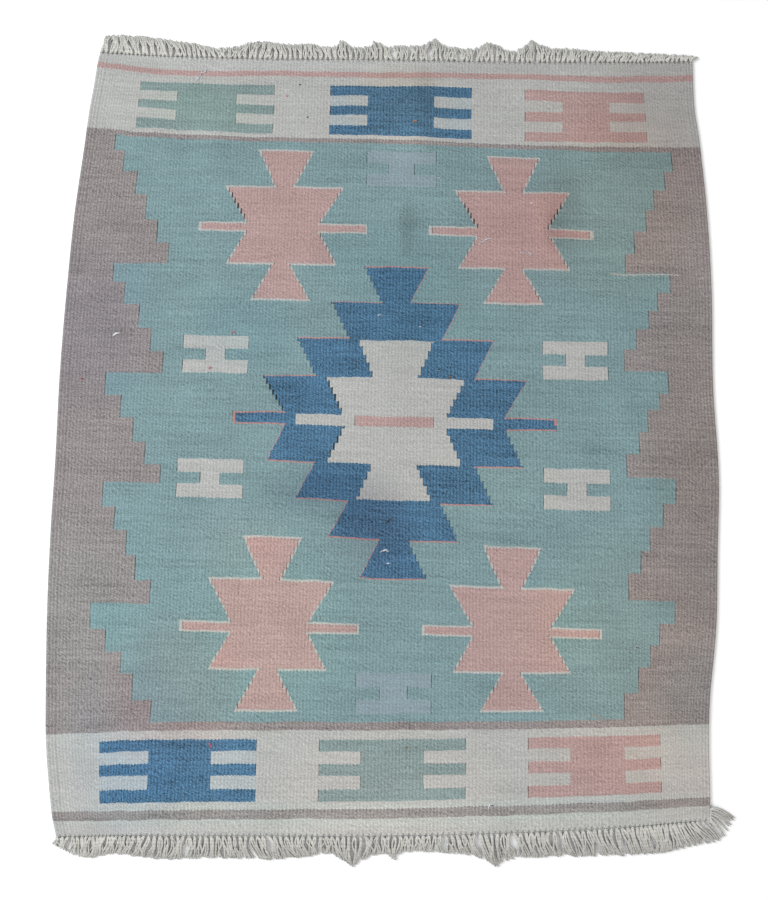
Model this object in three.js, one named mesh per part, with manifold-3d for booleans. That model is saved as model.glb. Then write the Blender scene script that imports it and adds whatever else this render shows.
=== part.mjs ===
// A small flat-woven wool kilim with a knotted fringe on both ends, lying flat.
// Millimetres. +X runs across the rug, +Y along its warps, +Z up; the floor is z = 0.
// Loom coordinates (across, along) are where a point lay on the loom, before the ends drew in.

import * as THREE from "three";
import { mergeVertices } from "three/addons/utils/BufferGeometryUtils.js";
import Module from "manifold-3d";

// The woven cloth
const HALF_WIDTH = 462; // at its widest, half way along
const FAR_END = 547.5; // last weft at the middle of the far end
const NEAR_END = -546.5; // and of the near end
const CLOTH_THICKNESS = 3;
const CORD_WIDTH = 4.4; // one thick selvedge cord
const CORD_RISE = 0.7; // how far a cord stands above the cloth
const CORDS = 2; // raised cords on each side
const DRAWN_IN_FROM = 0.66; // share of the half width beyond which the sides draw in
const PLAIN_COLUMNS = 26; // grid columns between the selvedges
const ROWS = 34; // grid rows from end to end

// The fringes
const KNOTS = 124; // knots on each end, one lock of warps to a knot
const FRINGE_HALF_WIDTH = HALF_WIDTH - CORD_WIDTH / 2; // on the loom, from the middle to the last knot's edge
const CLOTH_GAP = 0.35; // between the last weft and the knots
const KNOT_DEPTH = 4.4; // from the last weft outwards
const KNOT_HEIGHT = 3.4;
const KNOT_VALLEY = 0.62; // share of depth and height that is left between two knots
const LOCK_ROOT_WIDTH = 3.9;
const LOCK_TIP_WIDTH = 2.2;
const LOCK_ROOT_HEIGHT = 2.7;
const LOCK_TIP_HEIGHT = 1.5;
const LOCK_STEPS = 2; // straight stretches in a lock
const LOCK_BEND = 1.6; // a lock sets off along the warps, and leans more towards its tip
const TUFT_GATHER = 0.38; // how far a tuft's locks draw together

// The two long edges: how far each stands from the centre line, at sections from end to end
const SIDES = [
  { along: -560, left: 421, right: 432 },
  { along: -510, left: 432.5, right: 434.5 },
  { along: -450, left: 441.5, right: 437 },
  { along: -367, left: 449, right: 440.5 },
  { along: -273, left: 454.5, right: 451 },
  { along: -159, left: 458.5, right: 457 },
  { along: -71, left: 459.5, right: 461.9 },
  { along: 63, left: 461.9, right: 459.5 },
  { along: 208, left: 460, right: 460 },
  { along: 308, left: 457.5, right: 459 },
  { along: 403, left: 450.5, right: 453.5 },
  { along: 486, left: 442.5, right: 445 },
  { along: 554, left: 434.5, right: 444.5 },
];

// The wefts bow and slope: how far each strays from straight, at four places across
const STRAY_PLACES = [-HALF_WIDTH, -220, 0, 220, HALF_WIDTH];
const WEFTS = [
  { along: -546.5, farLeft: -8, left: -3.5, right: 9.5, farRight: 27 },
  { along: -502, farLeft: -11, left: -5, right: 8.5, farRight: 21 },
  { along: -403, farLeft: -10, left: -4.5, right: 5.8, farRight: 14.5 },
  { along: -338, farLeft: -2, left: -0.5, right: 1, farRight: 3 },
  { along: -281, farLeft: 0, left: 0.5, right: -0.5, farRight: 0 },
  { along: -162, farLeft: 8, left: 5.5, right: -5.5, farRight: -9 },
  { along: -83, farLeft: 5, left: 3, right: -3, farRight: -5 },
  { along: 4, farLeft: 4, left: 2.8, right: -1.2, farRight: -2 },
  { along: 123, farLeft: 0, left: 0, right: 0, farRight: 0 },
  { along: 284, farLeft: 0.5, left: 0, right: -1, farRight: -5 },
  { along: 345, farLeft: 1, left: 0, right: -1.5, farRight: -8 },
  { along: 422, farLeft: 9, left: 1.8, right: -6.3, farRight: -9 },
  { along: 524, farLeft: 11, left: 0, right: 0, farRight: 5.5 },
  { along: 547.5, farLeft: 4, left: -1.5, right: 0, farRight: 5 },
];

// Soft puckers where the cloth doesn't quite lie down; turn is in degrees from the warps
const PUCKERS = [
  { across: 34, along: 455, turn: 4, length: 190, width: 74, rise: 2.6 },
  { across: 22, along: 300, turn: -5, length: 200, width: 80, rise: 2.2 },
  { across: 240, along: 325, turn: 6, length: 210, width: 84, rise: 2.4 },
  { across: -262, along: 395, turn: -8, length: 190, width: 84, rise: 2 },
  { across: -345, along: 130, turn: 3, length: 260, width: 90, rise: 2.2 },
  { across: 352, along: -60, turn: -4, length: 260, width: 90, rise: 2.4 },
  { across: -70, along: -285, turn: 12, length: 200, width: 84, rise: 2 },
  { across: 205, along: -455, turn: 80, length: 220, width: 80, rise: 2.4 },
  { across: -300, along: -420, turn: 70, length: 220, width: 80, rise: 2.2 },
];

// Where each fringe's locks reach: out beyond the last weft, and sideways
const FAR_LOCKS = [
  { at: -432, out: 30, lean: 6 },
  { at: -400, out: 30.6, lean: -4 },
  { at: -350, out: 29, lean: -7 },
  { at: -300, out: 23, lean: -6 },
  { at: -250, out: 15, lean: 0 },
  { at: -210, out: 25, lean: 8 },
  { at: -170, out: 24, lean: -3 },
  { at: -100, out: 19, lean: -2 },
  { at: 100, out: 22, lean: 0 },
  { at: 125, out: 18, lean: 0 },
  { at: 165, out: 18, lean: 1 },
  { at: 240, out: 23, lean: 3 },
  { at: 300, out: 22, lean: 6 },
  { at: 440, out: 14, lean: 5 },
];
const NEAR_LOCKS = [
  { at: -424, out: 10, lean: 2 },
  { at: -385, out: 26, lean: -3 },
  { at: -350, out: 20, lean: -4 },
  { at: -275, out: 27, lean: -4 },
  { at: -225, out: 24, lean: 0 },
  { at: -180, out: 26, lean: 8 },
  { at: -110, out: 26, lean: 9 },
  { at: -85, out: 21, lean: 5 },
  { at: -25, out: 20, lean: 0 },
  { at: 60, out: 20, lean: 2 },
  { at: 130, out: 26, lean: 8 },
  { at: 230, out: 28, lean: 9 },
  { at: 330, out: 32, lean: 10 },
  { at: 385, out: 32, lean: 9 },
  { at: 412, out: 27, lean: 14 },
  { at: 422, out: 20, lean: 22 },
  { at: 430, out: 8, lean: 30 },
];

// Tufts: a few locks that draw together and stick out past the rest
const FAR_TUFTS = [
  { at: -76, half: 12, rise: 11 },
  { at: -24, half: 12, rise: 12 },
  { at: 60, half: 20, rise: 11.3 },
  { at: 146, half: 18, rise: 13 },
  { at: 204, half: 24, rise: 10.8 },
];
const NEAR_TUFTS = [
  { at: -152, half: 18, rise: 5 },
  { at: -48, half: 24, rise: 13 },
  { at: 18, half: 11, rise: 8 },
  { at: 146, half: 20, rise: 9 },
];

const WOOL = { roughness: 0.95, metalness: 0 };

// A smooth curve through one column of a table, as a function of the table's key column
function curveThrough(rows, key, column) {
  const keys = rows.map((row) => row[key]);
  const values = rows.map((row) => row[column]);
  const curve = new THREE.CubicInterpolant(keys, values, 1);
  return (place) => curve.evaluate(place)[0];
}

const leftEdge = curveThrough(SIDES, "along", "left");
const rightEdge = curveThrough(SIDES, "along", "right");
const strayAt = {
  farLeft: curveThrough(WEFTS, "along", "farLeft"),
  left: curveThrough(WEFTS, "along", "left"),
  right: curveThrough(WEFTS, "along", "right"),
  farRight: curveThrough(WEFTS, "along", "farRight"),
};

// How far the weft through a loom point strays from straight
function weftStray(across, along) {
  const strays = [strayAt.farLeft(along), strayAt.left(along), 0, strayAt.right(along), strayAt.farRight(along)];
  return new THREE.CubicInterpolant(STRAY_PLACES, strays, 1).evaluate(across)[0];
}

// Where a loom point lies on the floor. Only the outer third of each side draws in.
function laid(across, along) {
  const edge = across < 0 ? leftEdge(along) : rightEdge(along);
  const share = THREE.MathUtils.smoothstep(Math.abs(across), HALF_WIDTH * DRAWN_IN_FROM, HALF_WIDTH);
  const drawnIn = (HALF_WIDTH - edge) * share * Math.sign(across);
  return new THREE.Vector2(across - drawnIn, along + weftStray(across, along));
}

// How high the puckers lift the cloth at a place on the floor; between them it lies flat
function lift(x, y) {
  let height = 0;
  for (const pucker of PUCKERS) {
    const offset = new THREE.Vector2(x - pucker.across, y - pucker.along);
    offset.rotateAround(new THREE.Vector2(), THREE.MathUtils.degToRad(pucker.turn));
    const reach = Math.hypot(offset.x / (pucker.width / 2), offset.y / (pucker.length / 2));
    if (reach < 1) {
      height = Math.max(height, pucker.rise * (1 - THREE.MathUtils.smoothstep(reach, 0, 1)));
    }
  }
  return height;
}

// A mesh with its shared points merged, as a solid that can be joined to others
function solidOf(wasm, geometry) {
  geometry.deleteAttribute("normal");
  geometry.deleteAttribute("uv");
  const merged = mergeVertices(geometry);
  const mesh = new wasm.Mesh({
    numProp: 3,
    vertProperties: Float32Array.from(merged.attributes.position.array),
    triVerts: Uint32Array.from(merged.index.array),
  });
  return new wasm.Manifold(mesh);
}

function geometryOf(solid) {
  const mesh = solid.getMesh();
  const geometry = new THREE.BufferGeometry();
  geometry.setAttribute("position", new THREE.BufferAttribute(mesh.vertProperties, 3));
  geometry.setIndex(new THREE.BufferAttribute(mesh.triVerts, 1));
  geometry.computeVertexNormals();
  return geometry;
}

// Moves every point of a geometry to where the given function puts it
function reshape(geometry, place) {
  const points = geometry.attributes.position;
  const point = new THREE.Vector3();
  for (let i = 0; i < points.count; i += 1) {
    point.fromBufferAttribute(points, i);
    const moved = place(point);
    points.setXYZ(i, moved.x, moved.y, moved.z);
  }
  return geometry;
}

// Grid columns across the cloth: crest and groove of each selvedge cord, and even columns between
function clothColumns() {
  const columns = [];
  for (let half = 0; half <= CORDS * 2; half += 1) {
    columns.push({ across: -HALF_WIDTH + (half * CORD_WIDTH) / 2, crest: half % 2 });
  }
  const plainHalf = HALF_WIDTH - CORDS * CORD_WIDTH;
  for (let i = 1; i < PLAIN_COLUMNS; i += 1) {
    columns.push({ across: -plainHalf + (2 * plainHalf * i) / PLAIN_COLUMNS, crest: 0 });
  }
  const mirrored = columns.slice(0, CORDS * 2 + 1).reverse();
  for (const column of mirrored) {
    columns.push({ across: -column.across, crest: column.crest });
  }
  return columns;
}

function wovenPanel() {
  const columns = clothColumns();
  const cells = columns.length - 1;
  const sheet = new THREE.BoxGeometry(cells, ROWS, 1, cells, ROWS, 1);
  reshape(sheet, (point) => {
    const column = columns[Math.round(point.x + cells / 2)];
    const along = THREE.MathUtils.lerp(NEAR_END, FAR_END, point.y / ROWS + 0.5);
    const place = laid(column.across, along);
    const under = lift(place.x, place.y);
    const height = point.z > 0 ? CLOTH_THICKNESS + column.crest * CORD_RISE : 0;
    return new THREE.Vector3(place.x, place.y, under + height);
  });
  sheet.deleteAttribute("normal");
  sheet.deleteAttribute("uv");
  const geometry = mergeVertices(sheet);
  geometry.computeVertexNormals();
  return geometry;
}

// The end of the cloth that a fringe hangs from: facing is +1 for the far end and -1 for the near one
function clothEnd(facing) {
  const along = facing > 0 ? FAR_END : NEAR_END;
  return (across) => laid(across, along);
}

// The row of knots, one strip that rises and falls with each knot
function knotStrip(endAt, facing) {
  const cells = KNOTS * 2;
  const strip = new THREE.BoxGeometry(cells, 1, 1, cells, 1, 1);
  return reshape(strip, (point) => {
    const step = Math.round(point.x + cells / 2);
    const size = step % 2 === 1 ? 1 : KNOT_VALLEY;
    const root = endAt(facing * FRINGE_HALF_WIDTH * ((2 * step) / cells - 1));
    const out = point.y > 0 ? KNOT_DEPTH * size : CLOTH_GAP;
    return new THREE.Vector3(root.x, root.y + facing * out, point.z > 0 ? KNOT_HEIGHT * size : 0);
  });
}

// Where the tip of the lock that springs from a root lies
function lockTip(root, facing, reachOf, leanOf, tufts) {
  let out = reachOf(root.x);
  let tipX = root.x + leanOf(root.x);
  for (const tuft of tufts) {
    const share = Math.max(0, 1 - Math.abs(root.x - tuft.at) / tuft.half);
    out += tuft.rise * share;
    tipX -= (root.x - tuft.at) * TUFT_GATHER * Math.min(1, share * 2);
  }
  return new THREE.Vector2(tipX, root.y + facing * out);
}

// One lock of loose warps: three-sided, flat underneath, narrower towards its tip
function lock(root, tip) {
  const strand = new THREE.CylinderGeometry(1, 1, 1, 3, LOCK_STEPS);
  strand.computeBoundingBox();
  const section = strand.boundingBox; // a triangle, its flat side down
  const way = tip.clone().sub(root).normalize();
  return reshape(strand, (point) => {
    const share = point.y - section.min.y;
    const width = THREE.MathUtils.lerp(LOCK_ROOT_WIDTH, LOCK_TIP_WIDTH, share);
    const thickness = THREE.MathUtils.lerp(LOCK_ROOT_HEIGHT, LOCK_TIP_HEIGHT, share);
    const side = (width * point.x) / (section.max.x - section.min.x);
    const height = (thickness * (point.z - section.min.z)) / (section.max.z - section.min.z);
    const x = THREE.MathUtils.lerp(root.x, tip.x, share ** LOCK_BEND);
    const y = THREE.MathUtils.lerp(root.y, tip.y, share);
    return new THREE.Vector3(x + way.y * side, y - way.x * side, height);
  });
}

// A fringe: its row of knots, and a lock fused to the outside of each
function fringe(wasm, facing, lockRows, tufts) {
  const endAt = clothEnd(facing);
  const reachOf = curveThrough(lockRows, "at", "out");
  const leanOf = curveThrough(lockRows, "at", "lean");
  let solid = solidOf(wasm, knotStrip(endAt, facing));
  for (let i = 0; i < KNOTS; i += 1) {
    const root = endAt(((2 * i + 1) / KNOTS - 1) * FRINGE_HALF_WIDTH);
    const tip = lockTip(root, facing, reachOf, leanOf, tufts);
    root.y += facing * KNOT_DEPTH * KNOT_VALLEY;
    solid = solid.add(solidOf(wasm, lock(root, tip)));
  }
  return geometryOf(solid);
}

function named(name, geometry, color) {
  const mesh = new THREE.Mesh(geometry, new THREE.MeshStandardMaterial({ color, ...WOOL }));
  mesh.name = name;
  return mesh;
}

const wasm = await Module();
wasm.setup();

const kilim = new THREE.Group();
kilim.add(named("woven_panel", wovenPanel(), 0x7fa3a2));
kilim.add(named("fringe_far", fringe(wasm, 1, FAR_LOCKS, FAR_TUFTS), 0xc9c6bd));
kilim.add(named("fringe_near", fringe(wasm, -1, NEAR_LOCKS, NEAR_TUFTS), 0xc9c6bd));

export default kilim;
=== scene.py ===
import math

import bpy
import numpy as np
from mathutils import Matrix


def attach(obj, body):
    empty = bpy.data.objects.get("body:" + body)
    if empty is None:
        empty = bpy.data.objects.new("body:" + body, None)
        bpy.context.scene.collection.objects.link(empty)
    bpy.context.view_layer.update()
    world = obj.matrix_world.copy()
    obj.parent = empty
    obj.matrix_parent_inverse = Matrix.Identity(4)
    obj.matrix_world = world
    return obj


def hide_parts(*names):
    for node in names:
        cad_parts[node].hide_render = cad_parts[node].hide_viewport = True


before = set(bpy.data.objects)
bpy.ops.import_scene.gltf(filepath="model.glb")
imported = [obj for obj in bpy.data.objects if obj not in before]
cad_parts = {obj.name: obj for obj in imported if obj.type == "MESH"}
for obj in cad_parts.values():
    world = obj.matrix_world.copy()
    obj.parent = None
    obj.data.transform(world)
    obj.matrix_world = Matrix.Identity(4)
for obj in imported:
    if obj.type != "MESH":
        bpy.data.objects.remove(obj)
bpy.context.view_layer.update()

# A small slit-woven wool kilim, lying face up.
# Sizes are in millimetres and become metres where meshes are made. Loom coordinates (across,
# along) are where a point lay on the loom, before the ends drew in.
MM = 0.001
FULL_TURN = 2 * math.pi


def table(columns, rows):
    """The rows of a table, as dicts under its named columns"""
    return [dict(zip(columns.split(), row)) for row in rows]


# The cloth
HALF_WIDTH = 462
FAR_END = 547.5
NEAR_END = -546.5
THICKNESS = 3
RIBS = 200
RIB_PITCH = 2 * HALF_WIDTH / RIBS
COLUMNS_PER_RIB = 3
ROWS = 82
GROOVE = 0.2  # depth of the groove between two ribs, on each face
SELVEDGE_RIBS = 3  # thick cords along each side
SELVEDGE_RISE = 0.6
RIB_WANDER = 0.42
WANDER_LENGTHS = (50, 160)
PICK = 1.55  # one weft and the next
DRAWN_IN_FROM = 0.66  # share of the half width beyond which the sides draw in
SMOOTH_UNDER = 75
CLOTH_SEED, FAR_SEED, NEAR_SEED, LINT_SEED = 11, 21, 22, 40

# The fringes
KNOTS = 124
KNOT_PITCH = (2 * HALF_WIDTH - 4) / (KNOTS - 1)
YARNS_PER_KNOT = 5
KNOT_STRAY = 0.5
CLOTH_GAP = 0.05
KNOT_DEPTH = 4.4
YARN_RADIUS = 1.4
YARN_STATIONS = 13
YARN_SIDES = 6
PLY_TURN = 11  # length of one turn of the yarn's two plies
PLY_WAIST = 0.08
YARN_OFFSETS = (-1.2, 1.2, 0, -0.7, 0.7)  # the yarns of a knot where they leave it
UPPER_YARNS = (1, 1, 1, 0, 0)
YARN_FATNESS = (0.85, 1.1)
YARN_BEND = (1.1, 1.9)
YARN_FANNING = 2.1
UPPER_LAYER = 1.7
LAYER_STRAY = 0.6
ROOT_HEIGHT = 2.0
RESTING = 1.22  # height of a yarn that lies on the floor, in radii
SHORTEST = 4
TIP_TAPER = 0.3
CLUMPS = 58
CLUMPS_WITHIN = 460
CLUMP_STRAY = 1.5
KNOT_LEAN_STRAY = 1.1
TIP_STRAY = 1.8
LENGTH_STRAY = (-1.4, 2)
KNOT_SWING = 1.8
YARN_SWING = 0.5
YARN_CURL = 1.3

# A knot is a round lump with one turn of yarn drawn tight around it
LUMP = {"height": 2.06, "radius": 1.9, "inset": 0.2, "from": 0.12, "span": 0.72, "stations": 6}
LUMP_SIDES = 8
WRAP = {"height": 1.9, "out": 2.5, "half": 2.1, "rise": 1.35, "radius": 0.72, "past": 0.15, "stations": 9}
WRAP_SIDES = 6
KNOT_FATNESS = (0.9, 1.08)
WRAP_SKEW = (0.5, 1.3)

# The two long edges: how far each stands from the centre line, at sections from end to end
SIDES = table("along left right", [
    (-560, 421.5, 431.5),
    (-510, 433.5, 433.5),
    (-450, 443.5, 434),
    (-367, 451.3, 438),
    (-273, 457, 449),
    (-159, 460.3, 454.8),
    (-71, 460.6, 459.8),
    (63, 462.9, 456.5),
    (208, 461, 459.2),
    (308, 457.5, 457.3),
    (403, 450, 452),
    (486, 443.5, 443.5),
    (554, 436, 443),
])

# The wefts bow and slope: how far each strays from straight, at places across
STRAY_PLACES = {
    "far_left": -HALF_WIDTH,
    "mid_left": -330,
    "left": -170,
    "middle": 0,
    "right": 170,
    "mid_right": 330,
    "far_right": HALF_WIDTH,
}
WEFTS = table("along far_left mid_left left right mid_right far_right", [
    (-546.5, -8, -5.5, -2.8, 6.8, 17, 27),
    (-520, -12.5, -9, -4.4, 6.4, 14.8, 22.8),
    (-480, -9.8, -6, -2.8, 6, 13, 20),
    (-403, -13.5, -6, -2.8, 4.3, 9.6, 14.5),
    (-338, -2, -1.1, -0.3, 0.7, 1.8, 3),
    (-281, 0, 0.3, 0.4, -0.4, -0.3, 0),
    (-162, 8, 6.9, 4.5, -4.4, -7.3, -9),
    (-83, 5, 4, 2.4, -2.4, -4, -5),
    (4, 4, 3.5, 2.2, -1, -1.6, -2),
    (123, 0, 0, 0, 0, 0, 0),
    (284, 0.5, 0.4, 0.8, -1.4, -3.6, -4.6),
    (345, 1, 0.6, 0.6, -1.4, -4, -6.5),
    (417, 10, 3, 0.5, -4.5, -6.5, -6.5),
    (429, 13, 4.5, 0.6, -4.8, -4.5, -1.5),
    (506, 5, 0, -2, -1.8, -4.8, -4),
    (524, 11, -1.8, 0, 1.8, -1.2, 3),
    (547.5, 4, 0, -1.5, -0.3, 1.9, 5),
])

# Soft puckers where the cloth doesn't quite lie down; turn is in degrees from the warps
PUCKERS = table("across along turn length width rise", [
    (34, 455, 4, 190, 74, 2.6),
    (22, 300, -5, 200, 80, 2.2),
    (240, 325, 6, 210, 84, 2.4),
    (-262, 395, -8, 190, 84, 2),
    (-345, 130, 3, 260, 90, 2.2),
    (352, -60, -4, 260, 90, 2.4),
    (-70, -285, 12, 200, 84, 2),
    (205, -455, 80, 220, 80, 2.4),
    (-300, -420, 70, 220, 80, 2.2),
])

# Where each fringe's yarns reach: out beyond the last weft, and sideways
FAR_LOCKS = table("at out lean", [
    (-432, 28.5, 5),
    (-400, 30.6, -4),
    (-350, 29.5, -7),
    (-300, 23.5, -6),
    (-250, 17, 0),
    (-210, 28, 8),
    (-170, 26, -3),
    (-100, 21, -2),
    (100, 22, 0),
    (125, 19, 0),
    (165, 19, 1),
    (240, 23.5, 3),
    (300, 18.8, 6),
    (440, 9.8, 5),
])
NEAR_LOCKS = table("at out lean", [
    (-424, 11, 2),
    (-385, 26, -3),
    (-350, 22, -4),
    (-275, 29, -4),
    (-225, 27, 0),
    (-180, 28, 8),
    (-110, 25, 9),
    (-85, 21.5, 5),
    (-25, 23, 0),
    (60, 19.5, 2),
    (130, 28, 8),
    (230, 31, 9),
    (330, 33.5, 10),
    (385, 31, 11),
    (406, 25, 22),
    (420, 23, 29),
    (431, 10, 35),
])

# Tufts: yarns that draw together and stick out past the rest
FAR_TUFTS = table("at half rise", [
    (-122, 20, 4),
    (-76, 14, 12),
    (-24, 13, 9),
    (60, 20, 12),
    (142, 27, 15),
    (204, 26, 14),
])
NEAR_TUFTS = table("at half rise", [
    (-152, 20, 1),
    (-38, 34, 15),
    (18, 13, 9),
    (143, 24, 11),
])
TUFT_GATHER = 0.3
TUFT_LIFT = 0.4
FLARE_FROM = 414  # the near fringe's last yarns bow round the right corner
FLARE_BOW = 7
FLARE_WITHIN = 15
FRAYED = 15  # they come out of the side up to this far from the corner
FRAYED_WITHIN = 18
CORNER_SIDE = 433

# Loose threads and lint on the cloth, with their colours in daylight; turn is in degrees
PALE, ROSE, RUST, SKY, DARK, TAN = range(6)
LINT_COLOURS = {
    PALE: (222, 222, 228),
    ROSE: (196, 122, 134),
    RUST: (182, 118, 66),
    SKY: (138, 178, 206),
    DARK: (74, 66, 64),
    TAN: (176, 160, 148),
}
LINT_STATIONS = 9
LINT_SIDES = 5
LINT_KINK = 0.35
LINT_BOWS = (0.6, 1.2)
LINT_LENGTHS = (0.7, 1)
LINT_STRAY = {"ahead": 0.5, "aside": 0.4}
LINT_LIFT = 0.45
STRAY_THREADS = table("x y length turn bow fibres radius dye", [
    (-283, 519, 24, 50, 2.5, 3, 0.4, PALE),
    (-156, 488, 3, 20, 0.5, 3, 0.4, ROSE),
    (-138, 506, 2.5, 0, 0.4, 3, 0.45, DARK),
    (-125, 455, 2.5, 30, 0.4, 3, 0.45, DARK),
    (137, 270, 21, 27, 2, 3, 0.5, PALE),
    (195, 252, 18, -7, 1.5, 3, 0.5, PALE),
    (203, 328, 2.5, 0, 0.5, 3, 0.4, PALE),
    (69, 365, 2.5, 0, 0.5, 3, 0.4, PALE),
    (122, 367, 2.5, 40, 0.5, 3, 0.4, PALE),
    (-387, 122, 11, 30, 1.5, 10, 0.4, PALE),
    (-221, 128, 7, 20, 1, 4, 0.35, ROSE),
    (-251, 76, 5, 35, 1, 4, 0.35, ROSE),
    (-431, 57, 4, 10, 1, 4, 0.4, ROSE),
    (87, 68, 4, 70, 0.6, 5, 0.5, RUST),
    (70, 78, 7, 15, 1, 7, 0.5, SKY),
    (32, 450, 6, 20, 1, 4, 0.4, RUST),
    (-1, -177, 14, 8, 2.4, 3, 0.35, PALE),
    (342, -300, 8, 10, 1.2, 6, 0.5, PALE),
    (145, -508, 9, 50, 2.4, 6, 0.55, PALE),
    (-229, -437, 8, -60, 2, 4, 0.4, ROSE),
    (-337, -392, 3, 0, 0.6, 3, 0.4, ROSE),
    (290, -393, 25, -21, 1.5, 2, 0.35, TAN),
    (33, -435, 3, 0, 0.6, 3, 0.4, RUST),
    (-424, -332, 7, 20, 1, 4, 0.3, PALE),
    (-14, 157, 5, 30, 0.8, 4, 0.4, PALE),
    (44, 141, 3, 0, 0.6, 3, 0.4, PALE),
    (4, -135, 10, 50, 1, 2, 0.3, DARK),
    (4, -193, 3, 0, 0.6, 3, 0.4, PALE),
])

# The yarns, by their number in the chart, with their colours as they look in daylight (0 to 255)
TAUPE, TEAL, CREAM, PINK, BLUE, GREEN, LILAC, SALMON, BLUE_TINGED, PINK_TINGED = range(10)
YARN_COLOURS = {
    TAUPE: (137, 130, 129),
    TEAL: (119, 143, 146),
    CREAM: (170, 170, 167),
    PINK: (168, 142, 139),
    BLUE: (72, 107, 134),
    GREEN: (125, 142, 141),
    LILAC: (132, 148, 155),
    SALMON: (170, 126, 122),
    BLUE_TINGED: (163, 169, 170),
    PINK_TINGED: (171, 168, 164),
}
# How much the dye and the painted shade of the ribs vary, where that isn't the usual amount
YARN_CONTRAST = {TAUPE: 1.75, TEAL: 1.4, PINK: 1.2, BLUE: 2.5, GREEN: 1.4}
# The fringe yarn's own colour on top, and a painted shade colour for the undersides of its yarns
FRINGE_COLOUR = (195, 193, 186)
FRINGE_PAINTED_SHADE = (122, 126, 131)

# The chart's ends, its middle line, and its bands from end to end
NEAR_GREY_STRIPE = (-524.8, -512.6)
NEAR_BAND_EDGE = -413.3
NEAR_FIELD_EDGE = -402.6
FAR_FIELD_EDGE = 416
FAR_BAND_EDGE = 422.5
FAR_PINK_STRIPE = (519.5, 528)
MIDDLE_LINE = 9
STEPS_END = 420
CHART_END = 450
PALE_WEFT = {"across": (315, 418), "along": (224.9, 226.6)}  # where a new flight of steps starts

# The side borders: flights of steps, going down. Each step ends at a bottom and reaches in this far.
LEFT_FLIGHTS = table("bottoms reaches", [
    ((395, 364.5, 331, 293.5, 258.3, 228), (414, 395.5, 375.4, 355, 337, 317.4)),
    ((199, 166.5, 132.5, 97.5, 64.5), (397.7, 376.7, 356.6, 339, 317.4)),
    ((31, 0, -34.5, -66, -93.5), (395.5, 375.4, 354.7, 336.6, 316.4)),
    ((-128.5, -161.5, -194.5, -225.8, -255.5), (394, 374.8, 356.4, 340, 319.5)),
    ((-287.8, -317.5, -345.5, -376, -405), (400.3, 378.5, 357, 335.7, 311.5)),
])
RIGHT_FLIGHTS = table("bottoms reaches", [
    ((388.5, 356.5, 324, 292, 257.5, 227.3), (415, 401, 385, 369.7, 353, 339)),
    ((197.8, 170.5, 141.5, 112, 80.5), (404, 384.6, 369.4, 353, 334)),
    ((50.5, 27.5, -3.5, -36, -65.8), (399, 383.6, 367, 349.7, 331.6)),
    ((-99.5, -130.5, -163, -195, -233), (400, 382.7, 366, 350, 332)),
    ((-266.3, -297, -327, -365.5, -405), (401, 381, 365.7, 347, 324.6)),
])

# Tiers that flare outwards, measured from a motif's centre: half widths where each starts and ends
DIAMOND_TIERS = table("low high at_low at_high", [
    (-108.5, -56, 43, 14),
    (-56, -7.5, 80, 54),
    (-7.5, 7.5, 122, 122),
    (7.5, 63, 54, 86.5),
    (63, 119, 15.5, 41),
])
MEDALLION_TIERS = table("low high at_low at_high", [
    (-218, -165, 46, 20),
    (-165, -113, 90, 63.5),
    (-113, -61, 137, 111.5),
    (-61, -8.7, 178.5, 154),
    (-8.7, 9, 226.5, 226.5),
    (9, 63.2, 154, 185.5),
    (63.2, 119.5, 111.5, 139.5),
    (119.5, 172.6, 66, 92),
    (172.6, 225.8, 20, 46),
])
CROSS_TIERS = table("low high at_low at_high", [
    (-110, -60, 51, 31),
    (-60, -7.7, 94, 71),
    (-7.7, 7.7, 139.5, 139.5),
    (7.7, 62.5, 72.5, 98),
    (62.5, 116.5, 32, 53),
])
DIAMONDS = {"far": 284.4, "near": -281.6, "outline": 2.7}
# Their centre lines lean a little: places along, and how far across the line is there
DIAMOND_COLUMNS = {
    "left": ((-400, -156.5), (-160, -154.6), (230, -156.6), (400, -154.4)),
    "right": ((-400, 171.8), (-160, 173.8), (400, 177.6)),
}
# The far right diamond's right side is narrower above its middle, and a little wider below
SQUEEZED_ABOVE = 0.06
SQUEEZED_BELOW = -0.03
MEDALLION = {"across": 10.1, "along": 3.7, "outline": 1.7, "bar_half": 56, "bar_depth": 7.3}

# The small figures: their places, and half sizes from their centres
CREAM_FIGURES, LILAC_FIGURES = table("middle apart far near half tall post", [
    (9, 254, 95.5, -83.5, 45.8, 27.5, 14.7),
    (12.6, 0, 377, -365.6, 50, 26.6, 19),
])
FIGURE_NOTCH = 8.3

# The combs in the end bands, at the far end and at the near end
COMB_ROWS = {"far": 467.5, "near": -464}
COMB_TALL = 39
COMB_ARM_INNER = 24
COMB_MIDDLE_ARM = 7.4
COMBS = table("far near", [
    ((-383, -321, -232, -176.5, GREEN), (-382, -311.5, -225.4, -164.4, BLUE)),
    ((-94.4, -35.4, 58.6, 115.6, BLUE), (-82.4, -27.4, 53.6, 108.6, GREEN)),
    ((192.6, 248.6, 321, 378, PINK), (193.6, 248.6, 321.4, 383.5, PINK)),
])
TINGES = {BLUE: BLUE_TINGED, PINK: PINK_TINGED, GREEN: CREAM}  # between a comb's arms
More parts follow.
